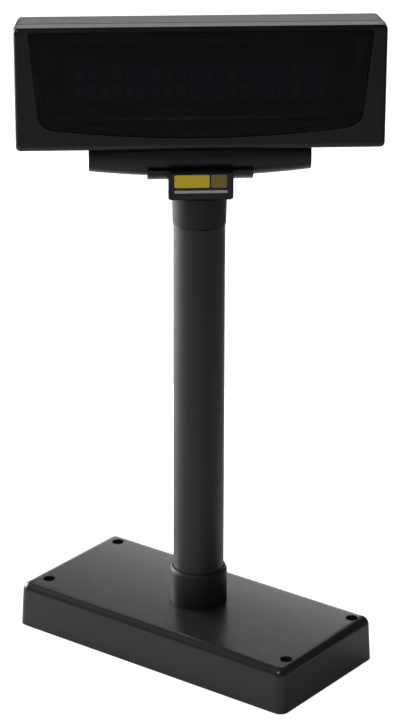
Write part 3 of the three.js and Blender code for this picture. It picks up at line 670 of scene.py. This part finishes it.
def make_bezel():
    """The front shell, with a recess for the window and an opening behind it."""
    edge, low_edge, count = 2.4, 4.2, 14
    rings = [head_ring(HEAD_SEAM, 0.25), head_ring(HEAD_SEAM - 0.25, 0)]
    for i in range(count + 1):
        depth = low_edge * (1 - math.sin(math.radians(90 * i / count)))
        inset = rounding(edge, depth)
        rings.append(head_ring(HEAD_FRONT + depth, inset, rise=rounding(low_edge, depth) - inset))
    bezel = as_object("front_bezel_finished", loft(rings))
    inner = HEAD_FRONT + FACE
    recess = loft([along("y", window_outline(-0.3), y) for y in (HEAD_FRONT - 2, HEAD_FRONT + 2.4)])
    opening = loft([along("y", window_outline(5), y) for y in (HEAD_FRONT, inner + 1)])
    room = loft([head_ring(inner, WALL), head_ring(HEAD_SEAM + 1, WALL)])
    cut(bezel, [room, recess, opening])
    settle(bezel, "head", ["front_bezel"], HEAD_PLASTIC, 0.2, turned=True)


def make_window():
    steps = [(0, PANE), (0, 0.3), (0.1, 0.1), (0.35, 0)]
    rings = [along("y", window_outline(inset), HEAD_FRONT + depth) for inset, depth in steps]
    window = as_object("filter_window_finished", loft(rings))
    settle(window, "head", ["filter_window"], WINDOW_ACRYLIC, 0, turned=True)


def housing_ring(y, inset):
    """The rear housing's outline at one depth, a little smaller towards the back."""
    share = max(0, (y - HEAD_SEAM) / (HEAD_BACK - HEAD_SEAM))
    return head_ring(y, inset, HEAD_CORNER + 0.4, HOUSING_TAPER * share, HOUSING_DROP * share)


def housing_shell(start):
    """The hollow rear housing, with a thin lip inside the seam that keeps light out."""
    edge, count = 2.6, 8
    lip, lip_wall, lip_end = WALL + 0.12, 0.8, HEAD_SEAM - 1.6
    rings = [housing_ring(lip_end, lip), housing_ring(start, lip), housing_ring(start, 0.25)]
    rings += [housing_ring(start + 0.25, 0), housing_ring(HEAD_BACK - edge, 0)]
    for i in range(1, count + 1):
        angle = math.radians(90 * i / count)
        depth = HEAD_BACK - edge * (1 - math.sin(angle))
        rings.append(housing_ring(depth, edge * (1 - math.cos(angle))))
    housing = as_object("rear_housing_finished", loft(rings))
    shoulder = start + 2
    hollow = [housing_ring(lip_end - 1, lip + lip_wall), housing_ring(shoulder, lip + lip_wall)]
    hollow += [housing_ring(shoulder, WALL), housing_ring(HEAD_BACK - WALL, WALL)]
    room = as_object("room", loft(hollow))
    posts = [
        rod("y", HOUSING_POST, (start - 3, HEAD_BACK), (x - math.copysign(0.4, x), z), 32)
        for _, x, z in housing_screw_spots()
    ]
    cut(room, posts)
    return cut(housing, [room])


def vent_slots():
    """Two groups of five level slots, as cutters through the back wall."""
    for _, side in SIDES:
        for row in range(5):
            low = VENT_LOW + row * VENT_PITCH
            slot = rounded_outline(VENT_HALF, low, low + VENT_TALL, 1.29, 6)
            outline = [(x + VENT_X * side, z) for x, z in slot]
            yield loft([along("y", outline, y) for y in (HEAD_BACK - 5, HEAD_BACK + 1)])


def make_housing():
    """The rear shell, with its screw wells, vents, and holes to the cradle underneath."""
    housing = housing_shell(HEAD_SEAM + SEAM_GAP)
    steps = [(HOUSING_CLEARANCE, -9), (HOUSING_CLEARANCE, HOUSING_SCREW_SEAT)]
    steps += [(HOUSING_WELL, HOUSING_SCREW_SEAT), (HOUSING_WELL, 30)]
    wells = [shaft("y", steps, (x, z), 40) for _, x, z in housing_screw_spots()]
    through_floor = (HEAD_LOW - 1, HEAD_LOW + 5)
    lead_hole = rod("z", LEAD_HOLE, through_floor, LEAD_SPOT, 40)
    screw_holes = [
        rod("z", SCREW_CLEARANCE, through_floor, (CRADLE_SCREW_X * side, CRADLE_SCREW_Y), 24)
        for _, side in SIDES
    ]
    cut(housing, [*wells, *vent_slots(), lead_hole, *screw_holes])
    settle(housing, "head", ["rear_housing"], HEAD_PLASTIC, 0.2, turned=True)


def make_display_tube():
    """The sealed glass tube, with its dark mask and the two rows of character cells."""
    steps = [(GLASS_BACK, 0.4), (GLASS_BACK - 0.4, 0), (GLASS_FRONT + 0.7, 0), (GLASS_FRONT + 0.4, 0.3)]
    rings = [
        along("y", rounded_outline(GLASS_HALF - i, GLASS_LOW + i, GLASS_HIGH - i, 1.5, 5), y)
        for y, i in steps
    ]
    tube = as_object("vfd_tube_finished", loft(rings))
    settle(tube, "head", ["vfd_tube"], TUBE_GLASS, 0, turned=True)
    front = GLASS_FRONT + 0.4
    border = rounded_outline(82, GLASS_LOW + 9, GLASS_HIGH - 9, 1, 4)
    mask = as_object("display_mask", loft([along("y", border, y) for y in (front, front - 0.1)]))
    settle(mask, "head", [], TUBE_MASK, 0, turned=True)
    cells = as_object("display_cells", display_cells(front - 0.1, front - 0.2))
    settle(cells, "head", [], TUBE_CELLS, 0, turned=True)


def display_cells(*depths):
    """Two rows of flat rounded cells, one for each character."""
    cells = bmesh.new()
    cell = rounded_outline(CELL_WIDE / 2, -CELL_TALL / 2, CELL_TALL / 2, 0.5, 3)
    middle = (GLASS_LOW + GLASS_HIGH) / 2
    for row in (-1, 1):
        for column in range(CELL_COLUMNS):
            x = (column - (CELL_COLUMNS - 1) / 2) * CELL_PITCH
            z = middle + row * (CELL_TALL + CELL_GAP) / 2
            outline = [(cell_x + x, cell_z + z) for cell_x, cell_z in cell]
            solid = loft([along("y", outline, y) for y in depths])
            mesh = bpy.data.meshes.new("cell")
            solid.to_mesh(mesh)
            cells.from_mesh(mesh)
            solid.free()
    return cells


def make_head_screws():
    for where, x, z in housing_screw_spots():
        level = HOUSING_SCREW_SEAT + SEAM_GAP
        make_screw("housing_screw_" + where, "head", "y", (x, z), level, -1, (1.35, 2.9), 17)
    for where, side in SIDES:
        spot = (BOARD_SCREW_X * side, BOARD_SCREW_Z)
        make_screw("board_screw_" + where, "head", "y", spot, 0.3, -1, (1.2, 2.4), 9)
        spot = (CRADLE_SCREW_X * side, CRADLE_SCREW_Y)
        level = HEAD_LOW + WALL + 0.6
        make_screw("cradle_screw_" + where, "head", "z", spot, level, -1, (1.4, 2.8), 8.6)


# ---------------------------------------------------------------- nodes kept from the frame


def dress(material, *nodes):
    """Gives frame nodes that keep their own shape a finished material."""
    for node in nodes:
        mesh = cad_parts[node].data
        mesh.materials.clear()
        mesh.materials.append(material)


def dress_hidden_parts():
    dress(ZINC, "base_plate", "vfd_lead_frame")
    dress(CAST, "ballast_weight")
    dress(BOARD, "interface_board", "display_board")
    dress(PACKAGE, "interface_chip", "controller_chip", "driver_chip_left", "driver_chip_right")
    dress(PACKAGE, "converter_transformer", "head_capacitor")
    dress(CONNECTOR, "base_header", "head_header")
    dress(JACKET, "pole_harness", "head_lead")
    dress(FOAM, "foam_frame")
    dress(ZINC, "swivel_stem", "swivel_washer", "swivel_nut")
    for side, _ in SIDES:
        dress(ZINC, "hinge_pin_" + side, "friction_washer_" + side, "hinge_clip_" + side)


def make_refined_parts():
    refined("neck_block", "neck", NECK_PLASTIC, 0.35)
    refined("tilt_cradle", "head", NECK_PLASTIC, 0.35)
    refined("data_jack", "base_and_pole", CONNECTOR, 0.12)
    refined("power_jack", "base_and_pole", CONNECTOR, 0.12)


# ---------------------------------------------------------------- studio

VIEW_AZIMUTH, VIEW_ELEVATION, VIEW_ROLL = math.radians(36.96), math.radians(21.22), math.radians(0.15)
VIEW_DISTANCE, AIM_HEIGHT, AIM_RIGHT, LENS = 1.7993, 0.19483, 0.00063, 142.06
FLOOR_GLOW, BACKING_GLOW, ROOM_GLOW = 0.92, 0.97, 0.06


def make_camera():
    """A long lens that looks at the object from its right front, a little from above."""
    level = math.cos(VIEW_ELEVATION)
    back = Vector(
        (
            math.sin(VIEW_AZIMUTH) * level,
            -math.cos(VIEW_AZIMUTH) * level,
            math.sin(VIEW_ELEVATION),
        )
    )
    right = Vector((math.cos(VIEW_AZIMUTH), math.sin(VIEW_AZIMUTH), 0))
    up = back.cross(right)
    target = Vector((0, 0, AIM_HEIGHT)) + right * AIM_RIGHT
    rolled_right = right * math.cos(VIEW_ROLL) + up * math.sin(VIEW_ROLL)
    rolled_up = up * math.cos(VIEW_ROLL) - right * math.sin(VIEW_ROLL)
    data = bpy.data.cameras.new("camera")
    data.sensor_fit = "VERTICAL"
    data.sensor_height = 36
    data.lens = LENS
    data.clip_end = 20
    camera = bpy.data.objects.new("camera", data)
    axes = Matrix((rolled_right, rolled_up, back)).transposed().to_4x4()
    camera.matrix_world = Matrix.Translation(target + back * VIEW_DISTANCE) @ axes
    bpy.context.scene.collection.objects.link(camera)
    bpy.context.scene.camera = camera


def make_floor():
    """A pale floor: the camera sees it burnt out to white, reflections see it as it is lit."""
    floor = as_object("floor", loft([along("z", circle(9000, 96), height) for height in (-20, 0)]))
    n = Nodes("floor_paper")
    tones = n.blend(n.remap(n.noise(3), 0, 1), (0.78, 0.78, 0.78), (0.80, 0.80, 0.80))
    n.put("Base Color", tones)
    n.put("Roughness", 0.9)
    n.put("Specular IOR Level", 0.1)
    n.put("Emission Color", (1, 1, 1, 1))
    seen = n.add("ShaderNodeLightPath").outputs["Is Camera Ray"]
    n.put("Emission Strength", n.remap(seen, 0, FLOOR_GLOW, 0, 1))
    floor.data.materials.append(n.material)


def make_lamp(name, place, aim, size, power):
    """A rectangular soft box that the camera doesn't see."""
    data = bpy.data.lights.new(name, "AREA")
    data.shape = "RECTANGLE"
    data.size, data.size_y = size
    data.energy = power
    lamp = bpy.data.objects.new(name, data)
    lamp.location = place
    lamp.rotation_euler = (Vector(aim) - Vector(place)).to_track_quat("-Z", "Y").to_euler()
    lamp.visible_camera = False
    bpy.context.scene.collection.objects.link(lamp)


def make_world():
    """A dim room around the object, seen by the camera as pale as the floor."""
    world = bpy.data.worlds.new("studio")
    world.use_nodes = True
    tree = world.node_tree
    room = tree.nodes["Background"]
    room.inputs["Color"].default_value = (0.95, 0.98, 1.0, 1)
    room.inputs["Strength"].default_value = ROOM_GLOW
    backing = tree.nodes.new("ShaderNodeBackground")
    backing.inputs["Color"].default_value = (1, 1, 1, 1)
    backing.inputs["Strength"].default_value = BACKING_GLOW
    choice = tree.nodes.new("ShaderNodeMixShader")
    seen = tree.nodes.new("ShaderNodeLightPath").outputs["Is Camera Ray"]
    tree.links.new(seen, choice.inputs[0])
    tree.links.new(room.outputs["Background"], choice.inputs[1])
    tree.links.new(backing.outputs["Background"], choice.inputs[2])
    tree.links.new(choice.outputs["Shader"], tree.nodes["World Output"].inputs["Surface"])
    bpy.context.scene.world = world


def make_studio():
    make_camera()
    make_floor()
    make_world()
    make_lamp("key", (-1.44, -0.1, 0.5), (0, 0, 0.15), (1.0, 0.8), 38)
    make_lamp("back_high", (-0.36, 0.48, 0.70), (0, 0, 0.70), (0.8, 0.3), 1.15)
    make_lamp("back_low", (-0.37, 0.35, 0.10), (-0.37, 0, 0.10), (0.62, 0.2), 1.26)
    make_lamp("front", (0.1, -1.5, 1.7), (0, 0, 0.3), (0.5, 0.5), 11)
    bpy.context.scene.view_settings.view_transform = "Standard"
    bpy.context.scene.view_settings.look = "None"


# ---------------------------------------------------------------- assembly

make_studio()
make_base_cover()
for spot in CORNERS:
    make_foot(*spot)
make_base_screws()
make_collar()
make_tube()
make_coupling()
make_label()
make_bezel()
make_window()
make_housing()
make_display_tube()
make_head_screws()
make_refined_parts()
dress_hidden_parts()
